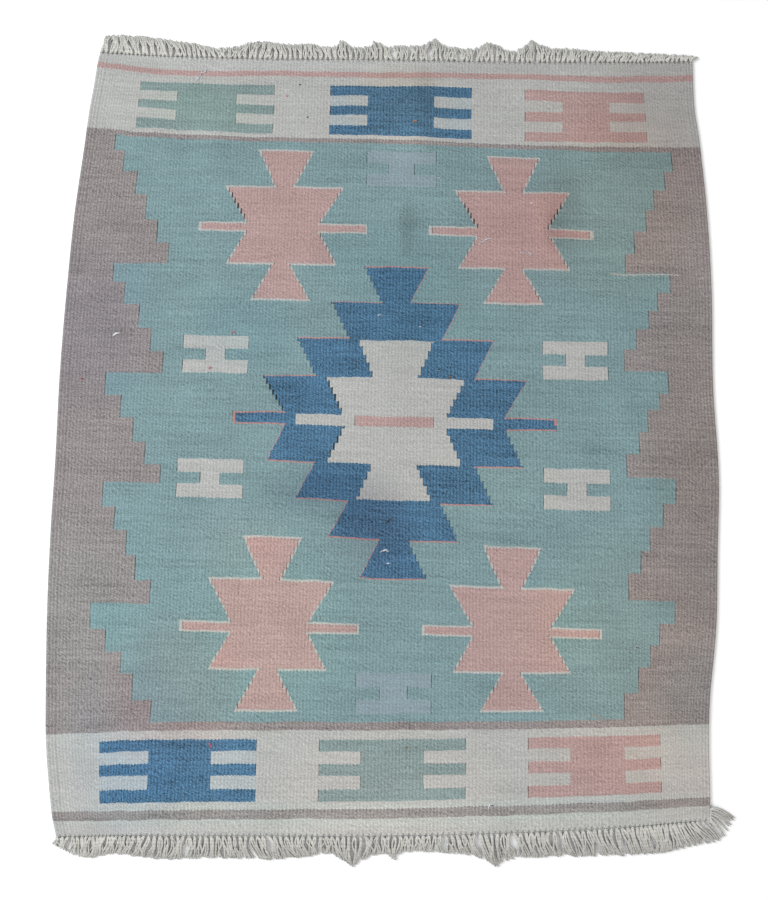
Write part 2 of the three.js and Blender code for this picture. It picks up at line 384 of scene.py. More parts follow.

# Where the dye has faded, darkened or been stained, and painted shade in the puckers' creases: soft ovals
# and their tints
DYE_AND_SHADE_PATCHES = table("across along wide long tint", [
    (415, 470, 150, 130, (0.84, 0.8, 0.8)),
    (195, 290, 120, 140, (0.96, 0.91, 0.91)),
    # The next two: painted shade in the crease of a pucker
    (245, 345, 40, 90, (0.92, 0.91, 0.9)),
    (236, 291, 20, 36, (0.84, 0.83, 0.84)),
    (340, 330, 150, 170, (1.06, 0.98, 0.91)),
    (60, -556, 520, 40, (1.12, 1.12, 1.1)),
    (-170, 556, 340, 36, (1.12, 1.12, 1.13)),
    (325, -310, 150, 200, (1.12, 1.04, 0.98)),
    (-285, -370, 110, 110, (1.09, 0.95, 0.92)),
    (-75, -95, 110, 44, (0.76, 0.78, 0.82)),
    (-15, -150, 70, 70, (0.82, 0.77, 0.8)),
    (140, -85, 110, 60, (1.08, 1.06, 1.03)),
    (-268, -464, 130, 80, (1.06, 1.06, 1.05)),
    (-340, -440, 110, 130, (0.92, 0.98, 1.04)),
    (-425, 130, 110, 170, (0.9, 0.91, 0.97)),
    (435, -80, 80, 260, (0.94, 0.92, 0.88)),
    (430, -470, 120, 100, (1.06, 0.99, 0.96)),
    (-160, -285, 140, 150, (1.06, 1.08, 1.03)),
    # The next two: painted shade in the crease of a pucker
    (24, 286, 15, 50, (0.82, 0.8, 0.79)),
    (44, 495, 20, 60, (0.86, 0.85, 0.84)),
    (10, 480, 90, 70, (1.03, 0.95, 0.88)),
    (430, -370, 80, 90, (0.91, 0.97, 0.97)),
    (420, -190, 80, 80, (0.95, 0.96, 0.97)),
    (0, -519, 640, 20, (1.02, 1.09, 1.07)),
    (-420, -270, 120, 180, (1.01, 1.08, 1.07)),
    (-280, 467, 110, 50, (0.97, 1.03, 0.98)),
    (10, 440, 60, 60, (1.14, 1.12, 1.1)),
    (10, 235, 130, 70, (0.88, 0.93, 0.95)),
    (60, 150, 150, 80, (0.92, 0.96, 0.96)),
    (10, -495, 170, 90, (1.12, 1.07, 1.05)),
    (-205, 130, 90, 70, (0.9, 0.97, 1.0)),
    (220, -270, 90, 70, (1.05, 1.08, 1.04)),
    (-200, -170, 80, 60, (1.12, 1.04, 1.02)),
])

# Where slits stand wide open, with wider and deeper painted shade: soft ovals
OPEN_SLITS = table("across along wide long", [
    (-160, 45, 34, 34),
    (-76, 45, 28, 34),
    (-74, -28, 26, 28),
    (-220, 321, 26, 30),
    (114, 305, 24, 30),
    (243, 305, 22, 28),
])

# Soft noise in the cloth: the size of its cells, its detail and its strength
CLOTH_NOISE = table("name across along detail strength", [
    ("weft wobble", 45, 60, 2, 3.4),
    ("fine streaks", 110, 3.4, 3, 0.28),
    ("broad streaks", 300, 22, 2, 0.12),
    ("dye clouds", 60, 60, 3, 0.16),
    ("beat drift", 16, 11, 2, 2.2),
    ("rib drift", 9, 7, 2, 0.5),
    ("lean drift", 50, 38, 2, 7),
    ("slit gape", 40, 25, 2, 1.4),
    ("fibres", 0.9, 0.5, 2, 0.9),
    ("lumps", 4, 3, 2, 1.2),
])
CLOTH_NOISE = {row["name"]: row for row in CLOTH_NOISE}
FLECKS = {"across": 2.2, "along": 2.6, "slope": 5, "strength": 0.5}
DASHES = {"rib_step": 3.7, "along": 3.6, "detail": 1, "strength": 0.3}
LEANING = {"pitch": 4.6, "rib_step": 0.46, "slant": 0.9}
# Painted shade of the ribs' weft beads: beads on the crowns and the crowns lighter than the grooves, a
# slanting ripple across the beads, a level, and each bead's own tone (grain)
RIB_SHADE_AND_TONE = {"beads": 0.16, "crowns": 0.07, "leaning": 0.07, "level": -0.1, "grain": 0.04}
RIB_JOG = 0.7  # how far a weft's edge jumps from rib to rib
SCALLOP = 0.45  # and bows over each rib
RAGGED = {"across": 150, "along": 8, "reach": 2.4}  # serrations on slopes
# Painted shade in the slits: how near the groove it starts, how much wider and darker it grows where
# slits stand open, and its darkest
SLIT_SHADE = {"from_crown": 0.37, "widened": 0.15, "dark": 0.42, "darkened": 0.8, "darkest": 0.85}
# Painted shade in the gaps between the fringe's knots, at the cloth's ends: how deep, how wide and how
# dark
KNOT_GAP_SHADE = {"deep": 2.6, "wide": 0.5, "dark": 0.4}  # between the fringe's knots
# How much darker the cloth grows towards its far end, per millimetre
DARKENING_TO_FAR_END = 0.0001
MOST_CONTRAST = 4
BEAD_HEIGHT = 0.5
BUMP = {"Strength": 0.5, "Distance": 0.0004}

# The fringe's wool
PLY_STRIPE = 4
PLY_SHADE = 0.04
FRINGE_PATCHES = {"per_metre": 60, "detail": 2, "strength": 0.4}
YARN_BY_YARN = {"per_metre": 240, "detail": 1, "strength": 0.5}
LINT_FUZZ = {"per_metre": 900, "detail": 1, "strength": 0.5}
TIP_DARKENING = {"start": 1.03, "over": 30, "by": 0.2}

# The camera and the room
LENS = 35
CAMERA_PLACE = (-1.4, -205.8, 1208.2)
CAMERA_TILT = 8
CAMERA_SPIN = 1
FLOOR_SIZE = 8  # metres, as are the lights' places and sizes
FLOOR_LEVEL = -0.6
FLOOR_TONE = 0.965
SKY_STRENGTH = 0.55
LIGHTS = table("name place size watts colour", [
    ("window", (-2.6, 0.6, 2.2), 1.6, 105, (0.93, 0.97, 1.0)),
    ("fill", (2.2, -1.6, 2.6), 2.2, 30, (1.0, 0.95, 0.9)),
])


def select_nothing():
    for thing in bpy.context.selected_objects:
        thing.select_set(False)


def linear(colour):
    """A daylight colour, 0 to 255, as the light that it reflects"""
    shares = [part / 255 for part in colour]
    return tuple(s / 12.92 if s <= 0.04045 else ((s + 0.055) / 1.055) ** 2.4 for s in shares)


def curve_through(rows, key, column):
    """A smooth curve through one column of a table, as a function of places along its key"""
    keys = np.array([row[key] for row in rows], float)
    values = np.array([row[column] for row in rows], float)
    slopes = np.gradient(values, keys)

    def at(place):
        place = np.clip(place, keys[0], keys[-1])
        i = np.clip(np.searchsorted(keys, place, side="right") - 1, 0, len(keys) - 2)
        step = keys[i + 1] - keys[i]
        t = (place - keys[i]) / step
        start = values[i] * (1 + 2 * t) * (1 - t) ** 2 + slopes[i] * step * t * (1 - t) ** 2
        return start + values[i + 1] * t**2 * (3 - 2 * t) + slopes[i + 1] * step * t**2 * (t - 1)

    return at


def smooth(share):
    share = np.clip(share, 0, 1)
    return share * share * (3 - 2 * share)


def share_of_place(column):
    """How much one column of WEFTS counts, as a function of the place across"""
    rows = [{"across": where, "share": float(name == column)} for name, where in STRAY_PLACES.items()]
    return curve_through(rows, "across", "share")


def laid(across, along):
    """Where loom points lie on the floor"""
    left = curve_through(SIDES, "along", "left")(along)
    right = curve_through(SIDES, "along", "right")(along)
    edge = np.where(across < 0, left, right)
    inner = HALF_WIDTH * DRAWN_IN_FROM
    share = smooth((np.abs(across) - inner) / (HALF_WIDTH - inner))
    x = across - (HALF_WIDTH - edge) * share * np.sign(across)
    y = along.astype(float)
    for column in list(WEFTS[0])[1:]:
        y = y + share_of_place(column)(across) * curve_through(WEFTS, "along", column)(along)
    return x, y


def lift(x, y):
    """How high the puckers lift the cloth"""
    height = np.zeros_like(x)
    for pucker in PUCKERS:
        turn = math.radians(pucker["turn"])
        dx = x - pucker["across"]
        dy = y - pucker["along"]
        sideways = (dx * math.cos(turn) - dy * math.sin(turn)) / (pucker["width"] / 2)
        lengthways = (dx * math.sin(turn) + dy * math.cos(turn)) / (pucker["length"] / 2)
        reach = np.hypot(sideways, lengthways)
        height = np.maximum(height, pucker["rise"] * (1 - smooth(reach)))
    return height


def points_of(piece):
    points = np.empty(len(piece.data.vertices) * 3, np.float32)
    piece.data.vertices.foreach_get("co", points)
    return points.reshape(-1, 3).astype(float)


def set_points(piece, points):
    piece.data.vertices.foreach_set("co", points.astype(np.float32).ravel())
    piece.data.update()


def lay_out_uv(piece, name, per_point):
    """A UV map from one place for each point"""
    mesh = piece.data
    while mesh.uv_layers:
        mesh.uv_layers.remove(mesh.uv_layers[0])
    corners = np.empty(len(mesh.loops), np.int32)
    mesh.loops.foreach_get("vertex_index", corners)
    layer = mesh.uv_layers.new(name=name)
    layer.data.foreach_set("uv", per_point[corners].astype(np.float32).ravel())


def flat_slab():
    """A flat slab with the ribs' columns and its rows, one unit across, along and thick"""
    select_nothing()
    bpy.ops.mesh.primitive_grid_add(x_subdivisions=RIBS * COLUMNS_PER_RIB, y_subdivisions=ROWS, size=1)
    slab = bpy.context.object
    bpy.ops.object.mode_set(mode="EDIT")
    bpy.ops.mesh.select_all(action="SELECT")
    bpy.ops.mesh.extrude_region_move(TRANSFORM_OT_translate={"value": (0, 0, -1)})
    bpy.ops.mesh.select_all(action="SELECT")
    bpy.ops.mesh.normals_make_consistent(inside=False)
    bpy.ops.object.mode_set(mode="OBJECT")
    return slab


def weave_panel():
    """The woven cloth: a sheet with its ribs on both faces, woven flat and then laid out"""
    panel = flat_slab()
    panel.name = "woven_cloth"
    flat = points_of(panel)
    underneath = flat[:, 2] < -0.5
    across = flat[:, 0] * 2 * HALF_WIDTH
    along = NEAR_END + (flat[:, 1] + 0.5) * (FAR_END - NEAR_END)
    lay_out_uv(panel, "loom", np.stack([across, along], 1) * MM)

    column = np.rint((flat[:, 0] + 0.5) * RIBS * COLUMNS_PER_RIB).astype(int)
    rib = np.minimum(column // COLUMNS_PER_RIB, RIBS - 1)
    in_groove = column % COLUMNS_PER_RIB == 0
    at_edge = np.minimum(rib, RIBS - 1 - rib) < SELVEDGE_RIBS
    at_end = np.abs(np.abs(flat[:, 1]) - 0.5) < 1e-4
    dip = np.where(in_groove, GROOVE, 0) + np.where(at_end, GROOVE, 0)
    rise = np.where(at_edge & ~in_groove, SELVEDGE_RISE, 0)

    rng = np.random.default_rng(CLOTH_SEED)
    phase = rng.uniform(0, FULL_TURN, RIBS)[rib]
    length = rng.uniform(*WANDER_LENGTHS, RIBS)[rib]
    wander = np.where(at_edge, 0, RIB_WANDER) * np.sin(FULL_TURN * along / length + phase)
    x, y = laid(across, along)
    x = x + wander
    under = lift(x, y)
    z = np.where(underneath, under + dip, under + THICKNESS + rise - dip)
    set_points(panel, np.stack([x, y, z], 1) * MM)
    bpy.ops.object.shade_smooth_by_angle(angle=math.radians(SMOOTH_UNDER))
    return panel


def tube_faces(count, stations, sides):
    """Faces of closed tubes whose points are a ring for each station and then the two ends"""
    per_tube = stations * sides + 2
    station = np.arange(stations - 1)[:, None] * sides
    i = np.arange(sides)[None]
    j = (i + 1) % sides
    corners = [station + i, station + j, station + sides + j, station + sides + i]
    walls = np.stack(corners, -1).reshape(-1, 4)
    last = (stations - 1) * sides
    first_cap = np.stack([j[0], i[0], np.full(sides, per_tube - 2)], 1)
    last_cap = np.stack([last + i[0], last + j[0], np.full(sides, per_tube - 1)], 1)
    starts = (np.arange(count) * per_tube)[:, None, None]
    quads = (walls[None] + starts).reshape(-1, 4)
    caps = (np.concatenate([first_cap, last_cap])[None] + starts).reshape(-1, 3)
    return quads, caps


def tubes(paths, radii, sides, turn=0.0):
    """Many closed tubes along paths (tubes by stations by 3), with two plies if they have a turn"""
    count, stations, _ = paths.shape
    ahead = np.gradient(paths, axis=1)
    ahead /= np.linalg.norm(ahead, axis=2, keepdims=True)
    side = np.cross(ahead, [0.0, 0.0, 1.0])
    side /= np.linalg.norm(side, axis=2, keepdims=True)
    top = np.cross(side, ahead)
    steps = np.linalg.norm(np.diff(paths, axis=1), axis=2)
    run = np.concatenate([np.zeros((count, 1)), steps.cumsum(1)], 1)
    angle = np.arange(sides) * FULL_TURN / sides - np.pi / 2
    lobes = 1.0
    if turn:
        lobes = 1 + PLY_WAIST * np.cos(2 * (angle[None, None] - FULL_TURN * run[..., None] / turn))
    reach = radii[..., None] * lobes * np.ones(sides)
    outward = np.cos(angle)[:, None] * side[:, :, None] + np.sin(angle)[:, None] * top[:, :, None]
    ring = paths[:, :, None] + reach[..., None] * outward
    points = np.concatenate([ring.reshape(count, -1, 3), paths[:, :1], paths[:, -1:]], 1)
    around = np.broadcast_to(angle / FULL_TURN + 0.25, (count, stations, sides)).reshape(count, -1)
    lengthways = np.broadcast_to(run[..., None], (count, stations, sides)).reshape(count, -1)
    uv = np.stack([around, lengthways * MM], 2)
    uv = np.concatenate([uv, np.zeros((count, 2, 2))], 1)
    quads, caps = tube_faces(count, stations, sides)
    return points.reshape(-1, 3), quads, caps, uv.reshape(-1, 2)


def piece_of(name, parts):
    """One piece from several sets of tubes"""
    points, faces, places = [], [], []
    start = 0
    for part_points, quads, caps, uv in parts:
        points.append(part_points)
        places.append(uv)
        faces += (quads + start).tolist() + (caps + start).tolist()
        start += len(part_points)
    mesh = bpy.data.meshes.new(name)
    mesh.from_pydata(np.concatenate(points) * MM, [], faces)
    piece = bpy.data.objects.new(name, mesh)
    bpy.context.scene.collection.objects.link(piece)
    lay_out_uv(piece, "yarn", np.concatenate(places))
    mesh.shade_smooth()
    return piece


def loose_yarns(rng, facing, knot_x, knot_y, lock_rows, tufts):
    """The yarns that come out of the knots: some above, some below"""
    offset = np.array(YARN_OFFSETS)
    root_x = (knot_x[:, None] + offset).ravel()
    place = (knot_x[:, None] + offset * YARN_FANNING).ravel()
    root_y = np.repeat(knot_y, YARNS_PER_KNOT)
    frayed = np.clip((place - FLARE_FROM) / FRAYED_WITHIN, 0, 1) * (facing < 0)
    root_x = root_x + (CORNER_SIDE - root_x) * np.minimum(frayed * 4, 1)
    root_y = root_y + frayed * FRAYED

    # Where each yarn's tip is
    count = len(root_x)
    out = curve_through(lock_rows, "at", "out")(place)
    lean = curve_through(lock_rows, "at", "lean")(place)
    clump_places = np.linspace(-CLUMPS_WITHIN, CLUMPS_WITHIN, CLUMPS)
    clump = np.interp(place, clump_places, rng.normal(0, CLUMP_STRAY, CLUMPS))
    group = rng.normal(0, KNOT_LEAN_STRAY, KNOTS).repeat(YARNS_PER_KNOT) + clump
    tip_x = place + lean + group + rng.normal(0, TIP_STRAY, count)
    gathered = np.zeros(count)
    for tuft in tufts:
        share = np.clip(1 - np.abs(place - tuft["at"]) / tuft["half"], 0, 1)
        out = out + tuft["rise"] * share
        tip_x = tip_x - (place - tuft["at"]) * TUFT_GATHER * np.minimum(1, share * 2)
        gathered = np.maximum(gathered, share)
    out = np.maximum(out + rng.uniform(*LENGTH_STRAY, count), SHORTEST)

    # How it gets there, from t = 0 at its knot to t = 1 at its tip
    t = np.linspace(0, 1, YARN_STATIONS)[None]
    bend = rng.uniform(*YARN_BEND, (count, 1))
    knot_swing = rng.normal(0, KNOT_SWING, KNOTS).repeat(YARNS_PER_KNOT)[:, None]
    swing = knot_swing + rng.normal(0, YARN_SWING, (count, 1))
    curl = rng.normal(0, YARN_CURL, (count, 1))
    wave = swing * np.sin(np.pi * t) + curl * np.sin(FULL_TURN * t)
    x = root_x[:, None] + (tip_x - root_x)[:, None] * t**bend + wave
    in_knot = KNOT_DEPTH * 0.5
    y = root_y[:, None] + facing * (in_knot + (out[:, None] - in_knot) * t)
    flare_bow = FLARE_BOW * np.clip((place[:, None] - FLARE_FROM) / FLARE_WITHIN, 0, 1) * (facing < 0)
    y = y + flare_bow * np.sin(np.pi * t)
    layer = np.tile(np.array(UPPER_YARNS) * UPPER_LAYER, KNOTS)[:, None]
    layer = layer + rng.uniform(0, LAYER_STRAY, (count, 1))
    low = YARN_RADIUS * RESTING
    arch = np.sin(np.pi * np.clip(t * 1.05, 0, 1))
    z = ROOT_HEIGHT * (1 - t) + low * t + layer * arch * (1 + TUFT_LIFT * gathered[:, None])
    radii = YARN_RADIUS * rng.uniform(*YARN_FATNESS, (count, 1)) * (1 - TIP_TAPER * t**5)
    return tubes(np.stack([x, y, np.maximum(z, low)], 2), radii, YARN_SIDES, PLY_TURN)


def tie_knots(rng, facing, knot_x, knot_y):
    """The knots' lumps and wraps"""
    knot_x, knot_y = knot_x[:, None], knot_y[:, None]
    s = np.linspace(0, 1, LUMP["stations"])[None]
    x = knot_x + 0 * s
    y = knot_y + facing * (CLOTH_GAP + LUMP["inset"] + (KNOT_DEPTH - LUMP["inset"]) * s)
    z = np.full_like(x, LUMP["height"])
    round_ends = np.sin(np.pi * (LUMP["from"] + LUMP["span"] * s))
    radii = LUMP["radius"] * round_ends * rng.uniform(*KNOT_FATNESS, (KNOTS, 1))
    lumps = tubes(np.stack([x, y, z], 2), radii, LUMP_SIDES)

    angle = np.linspace(-WRAP["past"] * np.pi, (1 + WRAP["past"]) * np.pi, WRAP["stations"])[None]
    skew = rng.uniform(*WRAP_SKEW, (KNOTS, 1)) * rng.choice([-1, 1], (KNOTS, 1))
    x = knot_x + WRAP["half"] * np.cos(angle)
    y = knot_y + facing * WRAP["out"] + skew * np.cos(angle)
    z = WRAP["height"] + WRAP["rise"] * np.sin(angle)
    paths = np.stack(np.broadcast_arrays(x, y, z), 2)
    wraps = tubes(paths, np.full((KNOTS, WRAP["stations"]), WRAP["radius"]), WRAP_SIDES)
    return [lumps, wraps]


def tie_fringe(name, facing, lock_rows, tufts, seed):
    """A fringe: one knot for each few warps, and the loose yarns that come out of it"""
    rng = np.random.default_rng(seed)
    end = FAR_END if facing > 0 else NEAR_END
    knot_across = (np.arange(KNOTS) - (KNOTS - 1) / 2) * KNOT_PITCH
    knot_x, knot_y = laid(knot_across, np.full(KNOTS, end))
    knot_x = knot_x + rng.uniform(-KNOT_STRAY, KNOT_STRAY, KNOTS)
    yarns = loose_yarns(rng, facing, knot_x, knot_y, lock_rows, tufts)
    return piece_of(name, [yarns] + tie_knots(rng, facing, knot_x, knot_y))


def strew_threads():
    """Loose threads and specks of lint that lie on the cloth, as short curled fibres"""
    groups = []
    for number, thread in enumerate(STRAY_THREADS):
        rng = np.random.default_rng(LINT_SEED + number)
        one_each = (thread["fibres"], 1)
        turn = math.radians(thread["turn"])
        s = np.linspace(-0.5, 0.5, LINT_STATIONS)[None]
        bow = thread["bow"] * rng.uniform(*LINT_BOWS, one_each)
        ahead = s * thread["length"] * rng.uniform(*LINT_LENGTHS, one_each)
        ahead = ahead + rng.normal(0, LINT_STRAY["ahead"], one_each)
        kinks = LINT_KINK * bow * np.sin(2 * FULL_TURN * s)
        aside = bow * np.cos(np.pi * s) + kinks + rng.normal(0, LINT_STRAY["aside"], one_each)
        x = thread["x"] + ahead * math.cos(turn) - aside * math.sin(turn)
        y = thread["y"] + ahead * math.sin(turn) + aside * math.cos(turn)
        z = lift(x, y) + THICKNESS + LINT_LIFT
        radii = np.full(x.shape, thread["radius"])
        group = tubes(np.stack([x, y, z], 2), radii, LINT_SIDES)
        group[3][:, 0] = (thread["dye"] + 0.5) / len(LINT_COLOURS)
        groups.append(group)
    return piece_of("stray_threads", groups)


def between_two(operation):
    return lambda self, other: self.maths(operation, other)


class Value:
    """One socket's value. Arithmetic on it adds the nodes that work it out."""

    def __init__(self, recipe, socket):
        self.recipe = recipe
        self.socket = socket

    def maths(self, operation, *others):
        return self.recipe.node("Math", {"operation": operation}, dict(enumerate((self, *others))))

    def wave(self, operation):
        """The sine or cosine of a number of whole turns"""
        return (self * FULL_TURN).maths(operation)

    __add__ = __radd__ = between_two("ADD")
    __sub__ = between_two("SUBTRACT")
    __mul__ = __rmul__ = between_two("MULTIPLY")
    __truediv__ = between_two("DIVIDE")
    __lt__ = between_two("LESS_THAN")
    __gt__ = between_two("GREATER_THAN")
    either = between_two("MAXIMUM")

    def __rsub__(self, other):
        return self.recipe.node("Math", {"operation": "SUBTRACT"}, {0: other, 1: self})

    def __abs__(self):
        return self.maths("ABSOLUTE")

    def floor(self):
        return self.maths("FLOOR")

    def between(self, low, high):
        return self.maths("COMPARE", (low + high) / 2, (high - low) / 2)

    def within(self, half):
        return abs(self) < half


class Recipe:
    """The nodes of one material or group"""

    def __init__(self, tree):
        self.tree = tree

    def node(self, kind, settings=None, sockets=None, output=0):
        """Adds a node: its settings first, then the values or links of its sockets"""
        node = self.tree.nodes.new("ShaderNode" + kind)
        for name, setting in (settings or {}).items():
            if name == "stops":
                self.set_stops(node.color_ramp, setting)
            elif name == "interpolation" and kind == "ValToRGB":
                node.color_ramp.interpolation = setting
            else:
                setattr(node, name, setting)
        for name, value in (sockets or {}).items():
            if isinstance(value, Value):
                self.tree.links.new(value.socket, node.inputs[name])
            else:
                node.inputs[name].default_value = value
        return Value(self, node.outputs[output]) if node.outputs else None

    @staticmethod
    def set_stops(ramp, stops):
        while len(ramp.elements) > 1:
            ramp.elements.remove(ramp.elements[-1])
        for i, (position, colour) in enumerate(stops):
            stop = ramp.elements[0] if i == 0 else ramp.elements.new(position)
            stop.position = position
            stop.color = (*colour, 1)

    def ramp(self, value, low, high, stops, interpolation="LINEAR"):
        """A ramp over the span low to high, whose stops are (place, number)"""
        settings = {
            "interpolation": interpolation,
            "stops": [((place - low) / (high - low), (number,) * 3) for place, number in stops],
        }
        return self.node("ValToRGB", settings, {0: (value - low) / (high - low)})

    def choose(self, mask, chosen, otherwise):
        return self.node("Mix", {"data_type": "FLOAT"}, {0: mask, 2: otherwise, 3: chosen})

    def blend(self, share, base, colour):
        colour = colour if isinstance(colour, Value) else (*colour, 1)
        return self.node("Mix", {"data_type": "RGBA"}, {0: share, 6: base, 7: colour}, 2)

    def scaled(self, colour, factor):
        return self.node("VectorMath", {"operation": "SCALE"}, {0: colour, 3: factor})

    def cloud(self, x, y, detail=2):
        """Soft noise about nought, from -0.5 to 0.5, one cell to a unit"""
        place = self.node("CombineXYZ", None, {0: x, 1: y})
        sockets = {"Vector": place, "Scale": 1, "Detail": detail}
        return self.node("TexNoise", {"noise_dimensions": "2D"}, sockets) - 0.5

    def grain(self, x, y):
        """A new number for each whole x and y, from -0.5 to 0.5"""
        place = self.node("CombineXYZ", None, {0: x, 1: y})
        return self.node("TexWhiteNoise", {"noise_dimensions": "2D"}, {"Vector": place}) - 0.5

    def mottle(self, noise):
        """Soft noise about nought, through the piece's own space"""
        place = self.node("TexCoord", None, None, 3)
        sockets = {"Vector": place, "Scale": noise["per_metre"], "Detail": noise["detail"]}
        return (self.node("TexNoise", None, sockets) - 0.5) * noise["strength"]

    def pick(self, share, colours):
        """The colour at a share of the way along a row of colours"""
        stops = [((number + 0.02) / len(colours), colour) for number, colour in enumerate(colours)]
        return self.node("ValToRGB", {"interpolation": "CONSTANT", "stops": stops}, {0: share})

    def uv_places(self, name):
        """The two parts of a UV map"""
        parts = self.node("SeparateXYZ", None, {0: self.node("UVMap", {"uv_map": name})})
        return parts, Value(self, parts.socket.node.outputs[1])


HALF_SCALE = 512  # half widths are divided by this in ramps, which hold numbers from 0 to 1
SLOPE_INSET = 1.3  # widths of an outline, measured across, on slopes and at straight ends
STRAIGHT_INSET = 1.5


def split_at_nought(stops, side):
    """The stops on one side of nought, and one at nought"""
    middle = (0, float(np.interp(0, *zip(*stops))))
    if side > 0:
        return [middle] + [stop for stop in stops if stop[0] > 0]
    return [stop for stop in stops if stop[0] < 0] + [middle]


def flare(recipe, offset_across, offset_along, tiers, outline=0.0, on_slopes=SLOPE_INSET):
    """Whether a place is inside a motif of flared tiers, within an outline of this width"""
    nudge = 0.05
    reach = max(-tiers[0]["low"], tiers[-1]["high"]) + 2
    low = tiers[0]["low"] + outline
    stops = [(-reach, 0), (low - nudge, 0)]
    for k, tier in enumerate(tiers):
        last = k == len(tiers) - 1
        narrows = last or tiers[k + 1]["at_low"] < tier["at_high"]
        high = tier["high"] - outline if narrows else tier["high"] + outline
        straight = tier["at_low"] == tier["at_high"]
        inset = outline * (STRAIGHT_INSET if straight else on_slopes)
        stops.append((low, (tier["at_low"] - inset) / HALF_SCALE))
        stops.append((high - nudge, (tier["at_high"] - inset) / HALF_SCALE))
        low = high
    stops.append((low, 0))
    upper = recipe.ramp(offset_along, 0, reach, split_at_nought(stops, 1))
    lower = recipe.ramp(offset_along, -reach, 0, split_at_nought(stops, -1))
    half = recipe.choose(offset_along > 0, upper, lower)
    return abs(offset_across) < half * HALF_SCALE


class Chart:
    """The kilim's chart. Each part of it is woven over the parts before it."""

    def __init__(self, recipe, across, slope_across, along, ragged):
        self.recipe = recipe
        self.across = across
        self.slope_across = slope_across
        self.along = along
        self.ragged = ragged
        self.far_half = along > 0
        self.yarn = TEAL

    def weave(self, mask, yarn):
        self.yarn = self.recipe.choose(mask, yarn, self.yarn)

    def by_half(self, far, near):
        """One number in the far half, and another in the near half"""
        return self.recipe.choose(self.far_half, far, near)

    def beyond(self, far, near):
        """Past a line near each end"""
        return (self.along > far).either(self.along < near)

    def steps_in(self, flights):
        """How far from the middle a side border starts, down its flights of steps"""
        steps = [step for flight in flights for step in zip(flight["bottoms"], flight["reaches"])]
        halves = []
        for low, high in ((0, STEPS_END), (-STEPS_END, 0)):
            rows = [(max(bottom, low), reach / HALF_SCALE) for bottom, reach in steps if bottom < high]
            rows.reverse()
            first = max(k for k, (bottom, _) in enumerate(rows) if bottom <= low or k == 0)
            halves.append(self.recipe.ramp(self.along, low, high, rows[first:], "CONSTANT"))
        return self.by_half(*halves) * HALF_SCALE

    def figures(self, sizes, yarn):
        """Figures like a letter H on its side"""
        du = abs(self.across - sizes["middle"]) - sizes["apart"]
        dv = self.along - self.by_half(sizes["far"], sizes["near"])
        arms = du.within(sizes["half"]) * (abs(dv) > FIGURE_NOTCH)
        self.weave(arms.either(du.within(sizes["post"])) * dv.within(sizes["tall"]), yarn)

    def side_borders(self):
        beyond_left = (-1 * self.across) > self.steps_in(LEFT_FLIGHTS)
        beyond_right = self.across > self.steps_in(RIGHT_FLIGHTS)
        self.weave(beyond_left.either(beyond_right), TAUPE)

    def diamonds(self):
        """Four serrated diamonds with a cream outline, whose wefts follow the slopes"""
        recipe = self.recipe
        centres = []
        for column in DIAMOND_COLUMNS.values():
            stops = [(place, (centre + HALF_SCALE) / (2 * HALF_SCALE)) for place, centre in column]
            ramp = recipe.ramp(self.along, -CHART_END, CHART_END, stops)
            centres.append(ramp * (2 * HALF_SCALE))
        on_right = self.slope_across > MIDDLE_LINE
        centre = recipe.choose(on_right, centres[1], centres[0]) - HALF_SCALE
        du = self.slope_across - centre
        dv = self.along - self.by_half(DIAMONDS["far"], DIAMONDS["near"])
        uneven_side = self.far_half * on_right * (du > 0)
        upper = dv > DIAMOND_TIERS[2]["low"]
        squeeze = 1 + uneven_side * recipe.choose(upper, SQUEEZED_ABOVE, SQUEEZED_BELOW)
        outer = (du + self.ragged * du.maths("SIGN") * 0.5) * squeeze
        inner = (self.across - centre) * squeeze
        self.weave(flare(recipe, outer, dv, DIAMOND_TIERS), CREAM)
        self.weave(flare(recipe, inner, dv, DIAMOND_TIERS, DIAMONDS["outline"]), PINK)

    def pale_weft(self):
        mask = self.across.between(*PALE_WEFT["across"]) * self.along.between(*PALE_WEFT["along"])
        self.weave(mask, PINK_TINGED)

    def medallion(self):
        """The stepped medallion: only two of its four quarters have the outline on their slopes too"""
        recipe = self.recipe
        outline = MEDALLION["outline"]
        dv = self.along - MEDALLION["along"]
        outlined = (self.slope_across - MEDALLION["across"]) * dv > 0
        du = abs(self.across - MEDALLION["across"])
        smooth_du = abs(self.slope_across - MEDALLION["across"]) + self.ragged * 0.5
        outer = recipe.choose(outlined, smooth_du, du)
        inner = recipe.choose(outlined, smooth_du + outline, du)
        self.weave(flare(recipe, outer, dv, MEDALLION_TIERS), SALMON)
        self.weave(flare(recipe, inner, dv, MEDALLION_TIERS, outline, 0), BLUE)
        self.weave(flare(recipe, du, dv, CROSS_TIERS), CREAM)
        self.weave(du.within(MEDALLION["bar_half"]) * dv.within(MEDALLION["bar_depth"]), PINK)

    def end_bands(self):
        """A thin grey line, the cream ground and a stripe at each end"""
        self.weave(self.beyond(FAR_FIELD_EDGE, NEAR_FIELD_EDGE), TAUPE)
        self.weave(self.beyond(FAR_BAND_EDGE, NEAR_BAND_EDGE), CREAM)
        self.weave(self.along.between(*NEAR_GREY_STRIPE), TAUPE)
        self.weave(self.along.between(*FAR_PINK_STRIPE), PINK)

    def combs(self):
        dv = abs(self.along - self.by_half(COMB_ROWS["far"], COMB_ROWS["near"]))
        arm_rows = (dv < COMB_MIDDLE_ARM).either(dv > COMB_ARM_INNER)
        for comb in COMBS:
            left, body_left, body_right, right, dye = [
                self.by_half(far, near) for far, near in zip(comb["far"], comb["near"])
            ]
            bled = self.by_half(TINGES[comb["far"][4]], TINGES[comb["near"][4]])
            span = (self.across > left) * (self.across < right)
            body = (self.across > body_left) * (self.across < body_right)
            self.weave(span * (dv < COMB_TALL), bled)
            self.weave((span * arm_rows).either(body) * (dv < COMB_TALL), dye)


